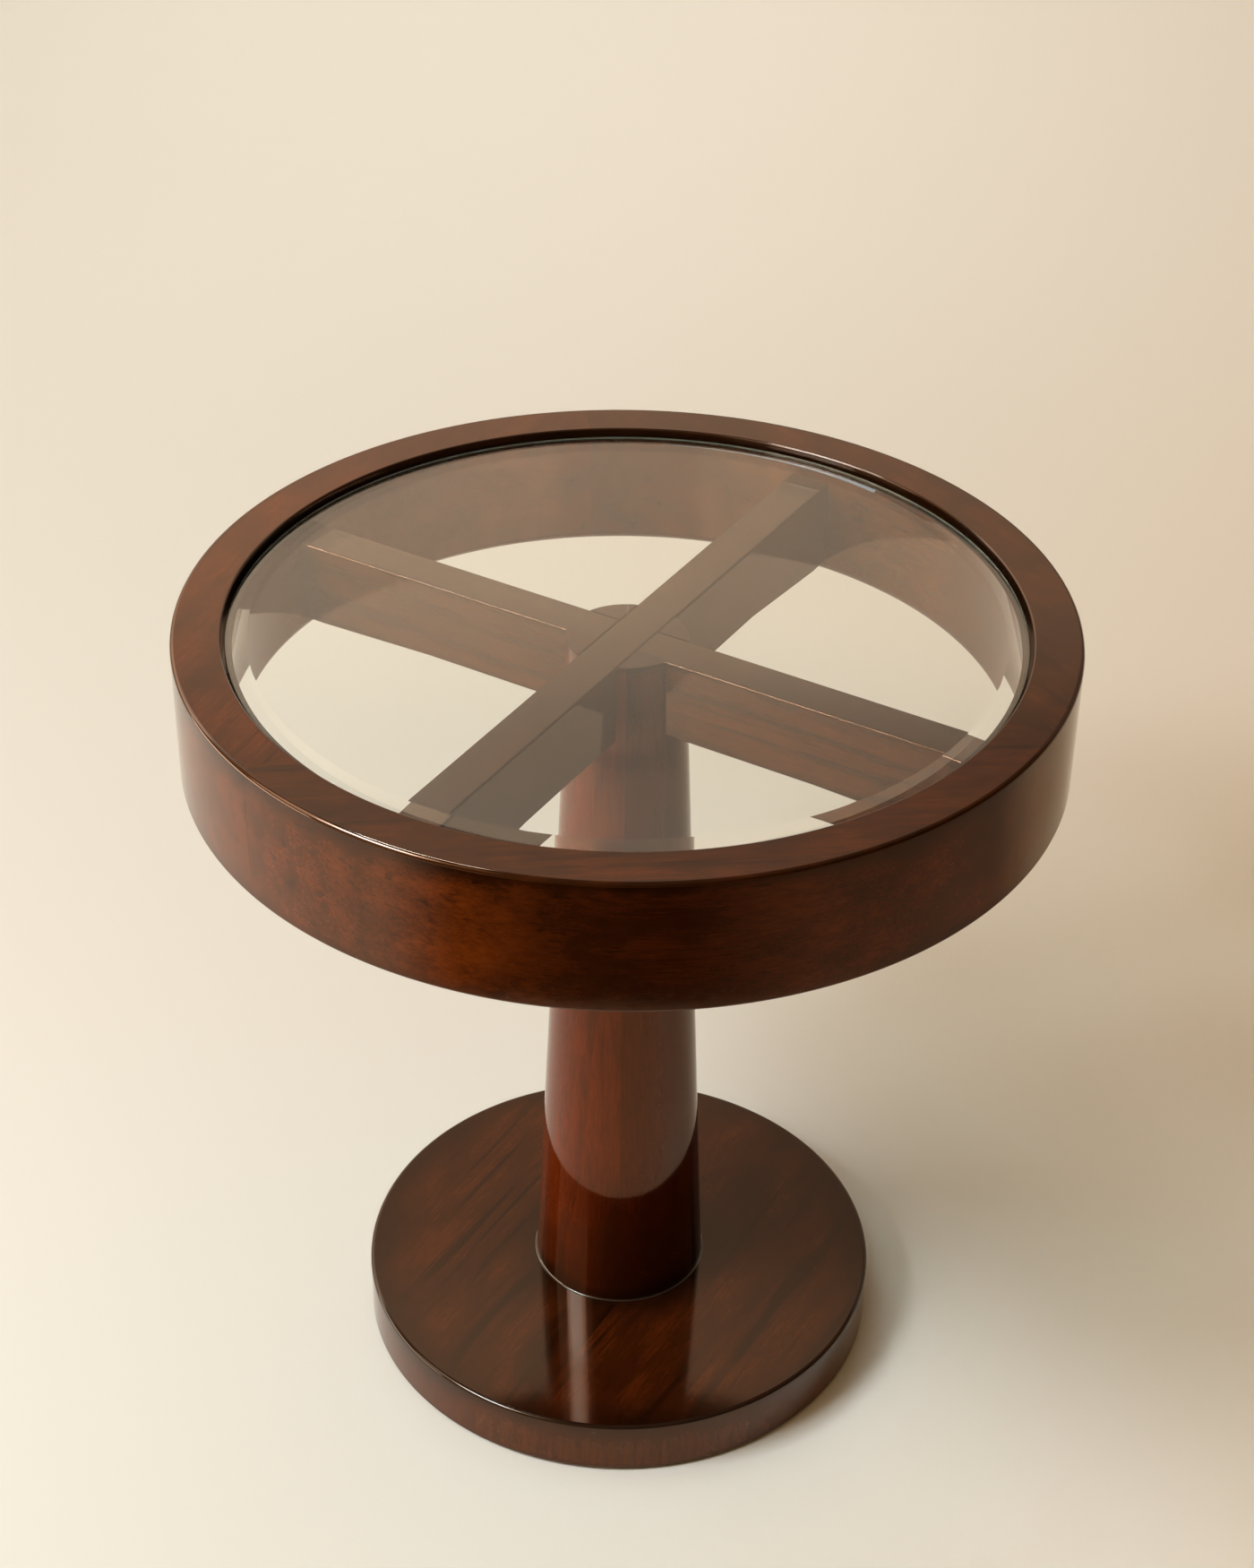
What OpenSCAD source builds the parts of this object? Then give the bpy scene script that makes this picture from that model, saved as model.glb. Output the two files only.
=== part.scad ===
// Round pedestal side table: a deep wooden rim with a lift-out bevelled glass,
// two crossed bars lapped over a slotted, tapered column, and a thick disc base.
// The floor is z = 0, the column's axis is z, and the continuous bar runs along y.

/* [Overall] */
// Height of the rim's top face above the floor
table_h = 608; // [480:1:740]
// Outer diameter of the rim
rim_d = 600; // [560:1:720]

/* [Rim] */
// Depth of the rim from its top face to its lower edge
rim_h = 94.5; // [90:0.5:120]
// Thickness of the rim's wall under the glass ledge
rim_wall = 40.5; // [36:0.5:48]
// Width of the ledge that carries the glass
ledge_w = 7.5; // [5:0.5:12]
// Depth of the glass rebate below the rim's top face
rebate_depth = 11.5; // [9:0.5:14]
// Radius of the rim's outer top edge
rim_top_round = 3; // [1:0.5:6]
// Radius of the rim's inner top edge
rebate_round = 1.5; // [0.5:0.25:3]
// Radius of the rim's outer lower edge
rim_low_round = 2; // [1:0.5:5]
// Radius of the rim's inner lower edge
rim_under_round = 8; // [2:0.5:9]
// Bearing of the glued joint between the rim's front and right segments
seam_bearing = 3.4; // [2:0.1:12]
// Angle that the right and the left segment each span
seam_span = 123.3; // [115:0.1:125]

/* [Glass] */
// Thickness of the glass
glass_t = 8; // [6:0.5:10]
// Gap between the glass and the rebate's wall
glass_gap = 2; // [1:0.25:4]
// Clearance under the glass where it rests on the ledge
glass_seat = 0.05; // [0.02:0.01:0.2]
// Width of the polished bevel round the glass
bevel_w = 15; // [8:0.5:22]
// Fall of the bevel over its width
bevel_drop = 2; // [1:0.25:4]
// Small flat that breaks the glass's lower edge
glass_arris = 0.6; // [0.3:0.1:1.2]

/* [Cross bars] */
// Width of each bar
bar_w = 30; // [24:0.5:34]
// Height of each bar over its straight middle
bar_h = 57; // [50:0.5:60]
// Distance from the rim's top face down to the bars' top faces
bar_drop = 20.5; // [17:0.5:24]
// Extra depth of the continuous bar at its haunched ends
haunch_drop = 8; // [2:0.5:9]
// Extra depth of the other bar at its haunched ends
low_haunch_drop = 3; // [1:0.5:8]
// Distance from the table's axis to the start of each haunch
haunch_start = 150; // [80:1:190]
// Distance from the table's axis to the full depth of each haunch
haunch_full = 240; // [200:1:250]
// Radius of the bars' top edges
bar_round = 1.5; // [0.5:0.25:4]

/* [Column] */
// Diameter of the column at its slotted head
head_d = 82.4; // [76:0.2:110]
// Diameter of the column level with the rim's lower edge
neck_d = 85; // [80:0.2:112]
// Diameter of the column at its foot
foot_d = 126.4; // [116:0.2:160]
// Flat that breaks the column's foot where it meets the base
foot_arris = 1.2; // [0.5:0.1:3]
// Flat that breaks the head's top edge
head_arris = 0.8; // [0.4:0.1:2]
// Clearance on each side of a bar in the column's slots
slot_fit = 0.1; // [0.05:0.05:0.5]
// Bearing of the glue line between the column's two halves
split_angle = 120.6; // [95:0.1:150]
// Diameter of the round tenon under the column
tenon_d = 44; // [36:0.5:56]
// Length of the tenon
tenon_l = 26; // [16:0.5:30]
// Clearance round the tenon
tenon_fit = 0.1; // [0.05:0.05:0.4]

/* [Base] */
// Diameter of the base
base_d = 382; // [345:1:480]
// Thickness of the base
base_t = 42.5; // [36:0.5:60]
// Radius of the base's top edge
base_round = 3; // [1:0.5:8]
// Flat that breaks the base's lower edge
base_arris = 1.5; // [0.5:0.5:4]
// Place across the grain of the glue line between boards 1 and 2
glue_x_1 = -110; // [-140:1:-60]
// Place of the glue line between boards 2 and 3
glue_x_2 = -30; // [-33:1:-28]
// Place of the glue line between boards 3 and 4
glue_x_3 = 54; // [50:1:90]
// Place of the glue line between boards 4 and 5
glue_x_4 = 123; // [100:1:140]

/* [Joinery] */
// Diameter of the hidden dowels
dowel_d = 8; // [6:0.5:9]
// Length of the dowels at the bars' ends
bar_dowel_l = 44; // [30:1:52]
// Height between the two dowels of a bar's end
bar_dowel_pitch = 28; // [24:1:32]
// Length of the dowels in the rim's joints
seam_dowel_l = 50; // [36:1:60]
// Height between the dowels of a rim joint
seam_dowel_pitch = 28; // [26:0.5:29]
// Clearance round a dowel
dowel_fit = 0.1; // [0.05:0.05:0.3]
// Free depth beyond a dowel's or the tenon's end
end_gap = 1; // [0.5:0.5:2]
// Shank diameter of the foot screws
screw_d = 6; // [4:0.5:8]
// Length of the foot screws under their heads
screw_l = 70; // [55:1:90]
// Head diameter of the foot screws
screw_head_d = 12; // [9:0.5:15]
// Height of the countersunk heads
screw_head_h = 3.2; // [2.5:0.1:4.5]
// Depth of the heads below the base's underside
screw_sunk = 0.4; // [0.2:0.1:1.5]
// Radius of the circle on which the foot screws stand
screw_ring_r = 42; // [38:0.5:46]
// Clearance round a screw
screw_fit = 0.1; // [0.05:0.05:0.4]

/* [Floor pads] */
// Diameter of each felt pad
pad_d = 30; // [20:1:40]
// Thickness of the felt
pad_t = 2; // [1:0.5:4]
// Distance of the pads' outer edges from the base's edge
pad_inset = 12; // [6:1:40]

/* [Hidden] */
$fn = 96;
eps = 0.01;
rim_r = rim_d / 2;
rim_z = table_h - rim_h;
inner_r = rim_r - rim_wall;
rebate_r = inner_r + ledge_w;
ledge_z = table_h - rebate_depth;
glass_r = rebate_r - glass_gap;
glass_z = ledge_z + glass_seat;
bar_top = table_h - bar_drop;
bar_z = bar_top - bar_h;
lap_z = bar_z + bar_h / 2;
base_top = pad_t + base_t;
base_r = base_d / 2;
dowel_mid_r = (inner_r + rim_r) / 2;
pad_ring_r = base_r - pad_inset - pad_d / 2;
board_edges = [-base_r - 1, glue_x_1, glue_x_2, glue_x_3, glue_x_4, base_r + 1];
seam_angles = [seam_bearing, seam_bearing + seam_span, seam_bearing + 2 * seam_span];

// Cuts a round of radius r from a corner at the origin whose material lies in +x, +y.
module corner_cut(r) {
    difference() {
        translate([-1, -1]) square(r + 1);
        translate([r, r]) circle(r);
    }
}

// Half section of the rim: outer wall, rebate, ledge, and eased edges.
module rim_section() {
    difference() {
        polygon([[inner_r, rim_z], [rim_r, rim_z], [rim_r, table_h], [rebate_r, table_h],
            [rebate_r, ledge_z], [inner_r, ledge_z]]);
        translate([rim_r, table_h]) rotate(180) corner_cut(rim_top_round);
        translate([rebate_r, table_h]) rotate(-90) corner_cut(rebate_round);
        translate([rim_r, rim_z]) rotate(90) corner_cut(rim_low_round);
        translate([inner_r, rim_z]) corner_cut(rim_under_round);
    }
}

// A plain dowel along +z, centred on the origin, with broken ends.
module dowel(l) {
    r = dowel_d / 2;
    rotate_extrude() polygon([[0, -l / 2], [r - 0.8, -l / 2], [r, -l / 2 + 0.8],
        [r, l / 2 - 0.8], [r - 0.8, l / 2], [0, l / 2]]);
}

// Places its children on the four bar ends, z along the bar and centred on the rim's wall face.
module at_bar_ends(bearings) {
    for (a = bearings, k = [-1, 1])
        rotate(a) translate([inner_r, 0, lap_z + k * bar_dowel_pitch / 2])
            rotate([0, 90, 0]) children();
}

// Places its children across the rim's glued joints, z along the joint's tangent.
module at_seams(bearings) {
    for (a = bearings, k = [-1, 0, 1])
        rotate(a) translate([dowel_mid_r, 0, lap_z + k * seam_dowel_pitch])
            rotate([90, 0, 0]) children();
}

module bar_dowel_bores(bearings) {
    at_bar_ends(bearings)
        cylinder(h = bar_dowel_l + 2 * end_gap, d = dowel_d + 2 * dowel_fit, center = true);
}

// One sawn and glued segment of the rim, from bearing a to bearing b.
module rim_segment(a, b, bar_bearings) {
    difference() {
        rotate(a) rotate_extrude(angle = b - a, $fn = 180) rim_section();
        bar_dowel_bores(bar_bearings);
        at_seams([a, b])
            cylinder(h = seam_dowel_l + 2 * end_gap, d = dowel_d + 2 * dowel_fit, center = true);
    }
}

module rim_segment_front() {
    color("#6b3a24") rim_segment(seam_angles[2] - 360, seam_angles[0], [-90, 0]);
}

module rim_segment_right() {
    color("#74402a") rim_segment(seam_angles[0], seam_angles[1], [90]);
}

module rim_segment_left() {
    color("#7a452d") rim_segment(seam_angles[1], seam_angles[2], [180]);
}

module rim_seam_dowels() {
    color("#c9a36b") at_seams(seam_angles) dowel(seam_dowel_l);
}

// The glass: flat top, wide polished bevel, upright edge with a broken lower arris.
module glass_top() {
    top = glass_z + glass_t;
    color("#b9cfc6", 0.45) rotate_extrude($fn = 180)
        polygon([[0, glass_z], [glass_r - glass_arris, glass_z],
            [glass_r, glass_z + glass_arris], [glass_r, top - bevel_drop],
            [glass_r - bevel_w, top], [0, top]]);
}

// Cross section of a bar, along its width and height, with rounded top edges.
module bar_section() {
    difference() {
        translate([-bar_w / 2, bar_z - haunch_drop]) square([bar_w, bar_h + haunch_drop]);
        translate([bar_w / 2, bar_top]) rotate(180) corner_cut(bar_round);
        translate([-bar_w / 2, bar_top]) rotate(-90) corner_cut(bar_round);
    }
}

// A bar along x, coped to the rim's inner wall. drop is the depth of its end haunches.
module bar_blank(drop) {
    intersection() {
        rotate([90, 0, 90]) linear_extrude(2 * inner_r, center = true) bar_section();
        rotate([90, 0, 0]) linear_extrude(bar_w + 2, center = true)
            polygon([[-inner_r, bar_top + 1], [-inner_r, bar_z - drop], [-haunch_full, bar_z - drop],
                [-haunch_start, bar_z], [haunch_start, bar_z], [haunch_full, bar_z - drop],
                [inner_r, bar_z - drop], [inner_r, bar_top + 1]]);
        translate([0, 0, rim_z - 50]) cylinder(h = rim_h + 100, r = inner_r, $fn = 180);
    }
}

// The continuous bar, along y: it is notched from below and lies over the other one.
module cross_bar_upper() {
    color("#633521") difference() {
        rotate(90) bar_blank(haunch_drop);
        translate([-bar_w / 2 - slot_fit, -bar_w / 2 - slot_fit, bar_z - 1])
            cube([bar_w + 2 * slot_fit, bar_w + 2 * slot_fit, lap_z - bar_z + 1]);
        bar_dowel_bores([90, -90]);
    }
}

// The bar along x, notched from above where the continuous bar crosses it.
module cross_bar_lower() {
    color("#6a3923") difference() {
        bar_blank(low_haunch_drop);
        translate([-bar_w / 2 - slot_fit, -bar_w / 2 - slot_fit, lap_z])
            cube([bar_w + 2 * slot_fit, bar_w + 2 * slot_fit, bar_top - lap_z + 1]);
        bar_dowel_bores([0, 180]);
    }
}

module bar_end_dowels() {
    color("#c9a36b") at_bar_ends([0, 90, 180, 270]) dowel(bar_dowel_l);
}

// Places its children at the four foot screws, on the base's underside.
module at_foot_screws() {
    for (k = [0:3])
        rotate(split_angle + 45 + 90 * k) translate([screw_ring_r, 0, pad_t]) children();
}

// Countersunk hole for a foot screw, through the base and into the column.
module screw_bore() {
    head_r = screw_head_d / 2 + screw_fit;
    shank_r = screw_d / 2 + screw_fit;
    translate([0, 0, -1]) cylinder(h = screw_sunk + 1, r = head_r);
    translate([0, 0, screw_sunk - eps]) cylinder(h = screw_head_h + eps, r1 = head_r, r2 = shank_r);
    cylinder(h = screw_sunk + screw_l + end_gap, r = shank_r);
}

// Half section of the turned column: tenon, broken foot, long taper, nearly straight head.
module column_section() {
    polygon([[0, base_top - tenon_l], [tenon_d / 2 - 1, base_top - tenon_l],
        [tenon_d / 2, base_top - tenon_l + 1], [tenon_d / 2, base_top],
        [foot_d / 2 - foot_arris, base_top], [foot_d / 2, base_top + foot_arris],
        [neck_d / 2, rim_z], [head_d / 2, bar_top - head_arris],
        [head_d / 2 - head_arris, bar_top], [0, bar_top]]);
}

// One half of the column, on the side of its glue line that bearing a points to,
// with its part of the crossed slots and of the screws' holes.
module column_half(a) {
    difference() {
        rotate(a - 90) rotate_extrude(angle = 180, $fn = 128) column_section();
        for (b = [0, 90])
            rotate(b) translate([-foot_d, -bar_w / 2 - slot_fit, bar_z])
                cube([2 * foot_d, bar_w + 2 * slot_fit, bar_h + 1]);
        at_foot_screws() screw_bore();
    }
}

module column_half_left() {
    color("#5f2c19") column_half(split_angle + 90);
}

module column_half_right() {
    color("#66301c") column_half(split_angle - 90);
}

// The base's disc before it is parted into its boards.
module base_disc() {
    difference() {
        rotate_extrude($fn = 160) difference() {
            polygon([[0, pad_t], [base_r - base_arris, pad_t], [base_r, pad_t + base_arris],
                [base_r, base_top], [0, base_top]]);
            translate([base_r, base_top]) rotate(180) corner_cut(base_round);
        }
        translate([0, 0, base_top - tenon_l - end_gap])
            cylinder(h = tenon_l + end_gap + 1, d = tenon_d + 2 * tenon_fit);
        at_foot_screws() screw_bore();
    }
}

// Board number k of the base, counted along +x, with its grain along y.
module base_board(k) {
    intersection() {
        base_disc();
        translate([board_edges[k], -base_r - 1, 0])
            cube([board_edges[k + 1] - board_edges[k], base_d + 2, base_top + 1]);
    }
}

module base_board_1() {
    color("#70402a") base_board(0);
}

module base_board_2() {
    color("#653824") base_board(1);
}

module base_board_3() {
    color("#6c3c26") base_board(2);
}

module base_board_4() {
    color("#623522") base_board(3);
}

module base_board_5() {
    color("#6e3f29") base_board(4);
}

// Four countersunk wood screws with crossed drive slots.
module foot_screws() {
    color("#b8b4aa") at_foot_screws() translate([0, 0, screw_sunk]) difference() {
        rotate_extrude() polygon([[0, 0], [screw_head_d / 2, 0], [screw_d / 2, screw_head_h],
            [screw_d / 2, screw_l - 8], [0.4, screw_l], [0, screw_l]]);
        for (a = [0, 90]) rotate(a) translate([-screw_head_d / 4, -0.6, -1])
            cube([screw_head_d / 2, 1.2, 2.6]);
    }
}

// Four felt pads under the base.
module floor_pads() {
    color("#4b4038") for (a = [45:90:315])
        rotate(a) translate([pad_ring_r, 0, 0]) cylinder(h = pad_t, d = pad_d, $fn = 48);
}

rim_segment_front();
rim_segment_right();
rim_segment_left();
rim_seam_dowels();
glass_top();
cross_bar_upper();
cross_bar_lower();
bar_end_dowels();
column_half_left();
column_half_right();
base_board_1();
base_board_2();
base_board_3();
base_board_4();
base_board_5();
foot_screws();
floor_pads();
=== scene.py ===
import math

import bmesh
import bpy
from mathutils import Matrix, Vector


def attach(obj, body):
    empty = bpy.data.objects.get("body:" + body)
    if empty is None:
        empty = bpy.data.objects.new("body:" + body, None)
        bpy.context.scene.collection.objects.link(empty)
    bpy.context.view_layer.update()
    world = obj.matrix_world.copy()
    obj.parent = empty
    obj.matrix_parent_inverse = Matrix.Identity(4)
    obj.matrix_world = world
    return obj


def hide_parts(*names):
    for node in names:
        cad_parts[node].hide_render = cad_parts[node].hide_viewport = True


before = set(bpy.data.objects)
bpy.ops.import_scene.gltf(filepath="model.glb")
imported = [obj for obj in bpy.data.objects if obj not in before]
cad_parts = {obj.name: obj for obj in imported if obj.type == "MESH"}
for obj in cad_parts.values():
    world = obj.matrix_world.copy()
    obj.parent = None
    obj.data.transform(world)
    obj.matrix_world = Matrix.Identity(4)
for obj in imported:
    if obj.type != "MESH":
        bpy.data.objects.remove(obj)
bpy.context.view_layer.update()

# Sizes in metres, bearings in degrees
TABLE_H = 0.608
RIM_R, RIM_Z = 0.300, 0.5135
INNER_R = 0.2595
REBATE_R = 0.267
LEDGE_Z = 0.5965
GLASS_R, GLASS_T = 0.265, 0.008
BEVEL_W, BEVEL_DROP = 0.015, 0.002
BAR_W = 0.030
BAR_TOP, BAR_Z = 0.5875, 0.5305
BASE_R = 0.191
BASE_Z, BASE_TOP = 0.002, 0.0445
HEAD_R, NECK_R, FOOT_R = 0.0412, 0.0425, 0.0632
SEAMS = (3.4, 126.7, 250.0)
SPLIT = 120.6
BOARD_X = (-0.110, -0.030, 0.054, 0.123)
CAMERA_AZ = -59.45


def rad(a):
    return math.radians(a)


# Node helpers
class Nodes:
    """A small writer of node trees."""

    def __init__(self, tree):
        self.tree = tree

    def put(self, socket, value):
        """Links an output to a socket, or sets a constant on it. A colour is given by three numbers."""
        if isinstance(value, bpy.types.NodeSocket):
            self.tree.links.new(value, socket)
        elif isinstance(value, (tuple, list)) and len(value) == 3 and socket.type == "RGBA":
            socket.default_value = (*value, 1.0)
        else:
            socket.default_value = value

    def new(self, kind, props=None, **inputs):
        node = self.tree.nodes.new(kind)
        for key, value in (props or {}).items():
            setattr(node, key, value)
        for key, value in inputs.items():
            self.put(node.inputs[key.replace("_", " ")], value)
        return node

    def fill(self, kind, values, props=None):
        """A node whose first inputs are given in order."""
        node = self.new(kind, props)
        for i, value in enumerate(values):
            if value is not None:
                self.put(node.inputs[i], value)
        return node

    def math(self, op, a, b=None, c=None, clamp=False):
        return self.fill("ShaderNodeMath", (a, b, c), {"operation": op, "use_clamp": clamp}).outputs[0]

    def chain(self, op, values):
        total = values[0]
        for value in values[1:]:
            total = self.math(op, total, value)
        return total

    def add(self, *values):
        return self.chain("ADD", values)

    def mul(self, *values):
        return self.chain("MULTIPLY", values)

    def most(self, *values):
        return self.chain("MAXIMUM", values)

    def sub(self, a, b):
        return self.math("SUBTRACT", a, b)

    def scaled(self, a, b, c):
        """a * b + c"""
        return self.math("MULTIPLY_ADD", a, b, c)

    def gap(self, a, b):
        return self.math("ABSOLUTE", self.sub(a, b))

    def length(self, a, b):
        return self.math("SQRT", self.add(self.mul(a, a), self.mul(b, b)))

    def smooth(self, value, lo, hi, a=0.0, b=1.0):
        """From a to b, smoothly, as value goes from lo to hi."""
        return self.fill("ShaderNodeMapRange", (value, lo, hi, a, b),
                         {"interpolation_type": "SMOOTHSTEP"}).outputs[0]

    def xyz(self, vector):
        return self.fill("ShaderNodeSeparateXYZ", (vector,)).outputs

    def vec(self, x, y, z):
        return self.fill("ShaderNodeCombineXYZ", (x, y, z)).outputs[0]

    def noise(self, vector, scale, detail=2.0, rough=0.5):
        return self.new("ShaderNodeTexNoise", None, Vector=vector, Scale=scale, Detail=detail,
                        Roughness=rough).outputs["Fac"]

    def mix(self, fac, a, b):
        node = self.new("ShaderNodeMix", {"data_type": "RGBA"})
        for i, value in ((0, fac), (6, a), (7, b)):
            self.put(node.inputs[i], value)
        return node.outputs[2]

    def blend(self, fac, a, b):
        """The shader a, or b where fac is 1."""
        return self.fill("ShaderNodeMixShader", (fac, a, b)).outputs[0]

    def ray(self, kind):
        """1 for a ray of this kind, such as Glossy."""
        return self.new("ShaderNodeLightPath").outputs[f"Is {kind} Ray"]

    def point(self):
        return self.new("ShaderNodeTexCoord").outputs["Object"]


class Surface(Nodes):
    """A material that is being written."""

    def __init__(self, name):
        self.material = bpy.data.materials.new(name)
        self.material.use_nodes = True
        super().__init__(self.material.node_tree)
        self.tree.nodes.clear()

    def done(self, shader):
        self.new("ShaderNodeOutputMaterial", None, Surface=shader)
        return self.material


def srgb(*values):
    """A linear colour from three 8-bit display values."""
    def linear(v):
        v /= 255.0
        return v / 12.92 if v <= 0.04045 else ((v + 0.055) / 1.055) ** 2.4
    return tuple(linear(v) for v in values)


# Colours of the table
# Darker toning at the edges, also the colour of the painted shade on top faces, in corners and in recesses.
DARK_TONING_AND_SHADE = srgb(22, 8, 2)
# Each set of tones runs from late wood over the middle to the lightest wood.
BROWN_TONES = (srgb(30, 12, 2), srgb(68, 31, 5), srgb(100, 48, 10))
RIM_TONES = (srgb(30, 10, 2), srgb(71, 30, 6), srgb(100, 44, 10))
BASE_TONES = (srgb(20, 7, 1), srgb(49, 18, 3), srgb(74, 30, 6))
RED_TONES = (srgb(36, 10, 2), srgb(70, 23, 4), srgb(92, 32, 6))
# Painted light: tones of the base's side face, paler as if lit, with an end-grain pattern.
LIT_SIDE_DARK, LIT_SIDE_LIGHT = srgb(60, 25, 5), srgb(84, 38, 9)
# Painted reflection along the bead at the column's foot.
BEAD_PAINTED_REFLECTION = srgb(34, 24, 18)
# Tints of the lacquer's gloss: on faces, then on the rounds where it is nearly white.
AMBER = (1.0, 0.54, 0.32)
RED_AMBER = (1.0, 0.46, 0.23)
RIM_SHINE = (1.0, 0.65, 0.50)
BASE_SHINE = (1.0, 0.80, 0.68)
FOOT_SHINE = (1.0, 0.90, 0.82)
LACQUER_IOR, GLASS_IOR = 1.62, 1.5
SPECULAR = 0.5
FULL_GLINT, SOFT_GLINT = 1.0, 0.55
MID_STOP = 0.52
GLASS_FACE, GLASS_EDGE, GLASS_SHADOW = srgb(248, 251, 249), srgb(206, 226, 218), srgb(236, 242, 238)
GROUND_DARK, GROUND_PALE = srgb(96, 94, 84), srgb(140, 139, 127)
FLAG_DARK = srgb(10, 6, 4)


# The noises of the grain: scale along and across it, detail and roughness
GRAIN = {
    "sway": (1.3, 6.0, 3.0, 0.5),
    "waver": (4.0, 22.0, 2.0, 0.5),
    "fading": (2.0, 14.0, 2.0, 0.5),
    "streak": (9.0, 230.0, 4.0, 0.6),
    "cloud": (7.0, 13.0, 3.0, 0.5),
    "mottle": (16.0, 42.0, 3.0, 0.6),
    "fleck": (38.0, 430.0, 3.0, 0.65),
    "fibre": (55.0, 1300.0, 3.0, 0.6),
    "pore": (130.0, 3000.0, 1.0, 0.5),
    "vein": (4.5, 150.0, 3.0, 0.55),
    "vein_area": (2.5, 9.0, 2.0, 0.5),
}
LATE_END = 0.94
END_GRAIN_FINE, END_GRAIN_LONG = 260.0, 22.0
LACQUER_BUMP = 0.02


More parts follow.
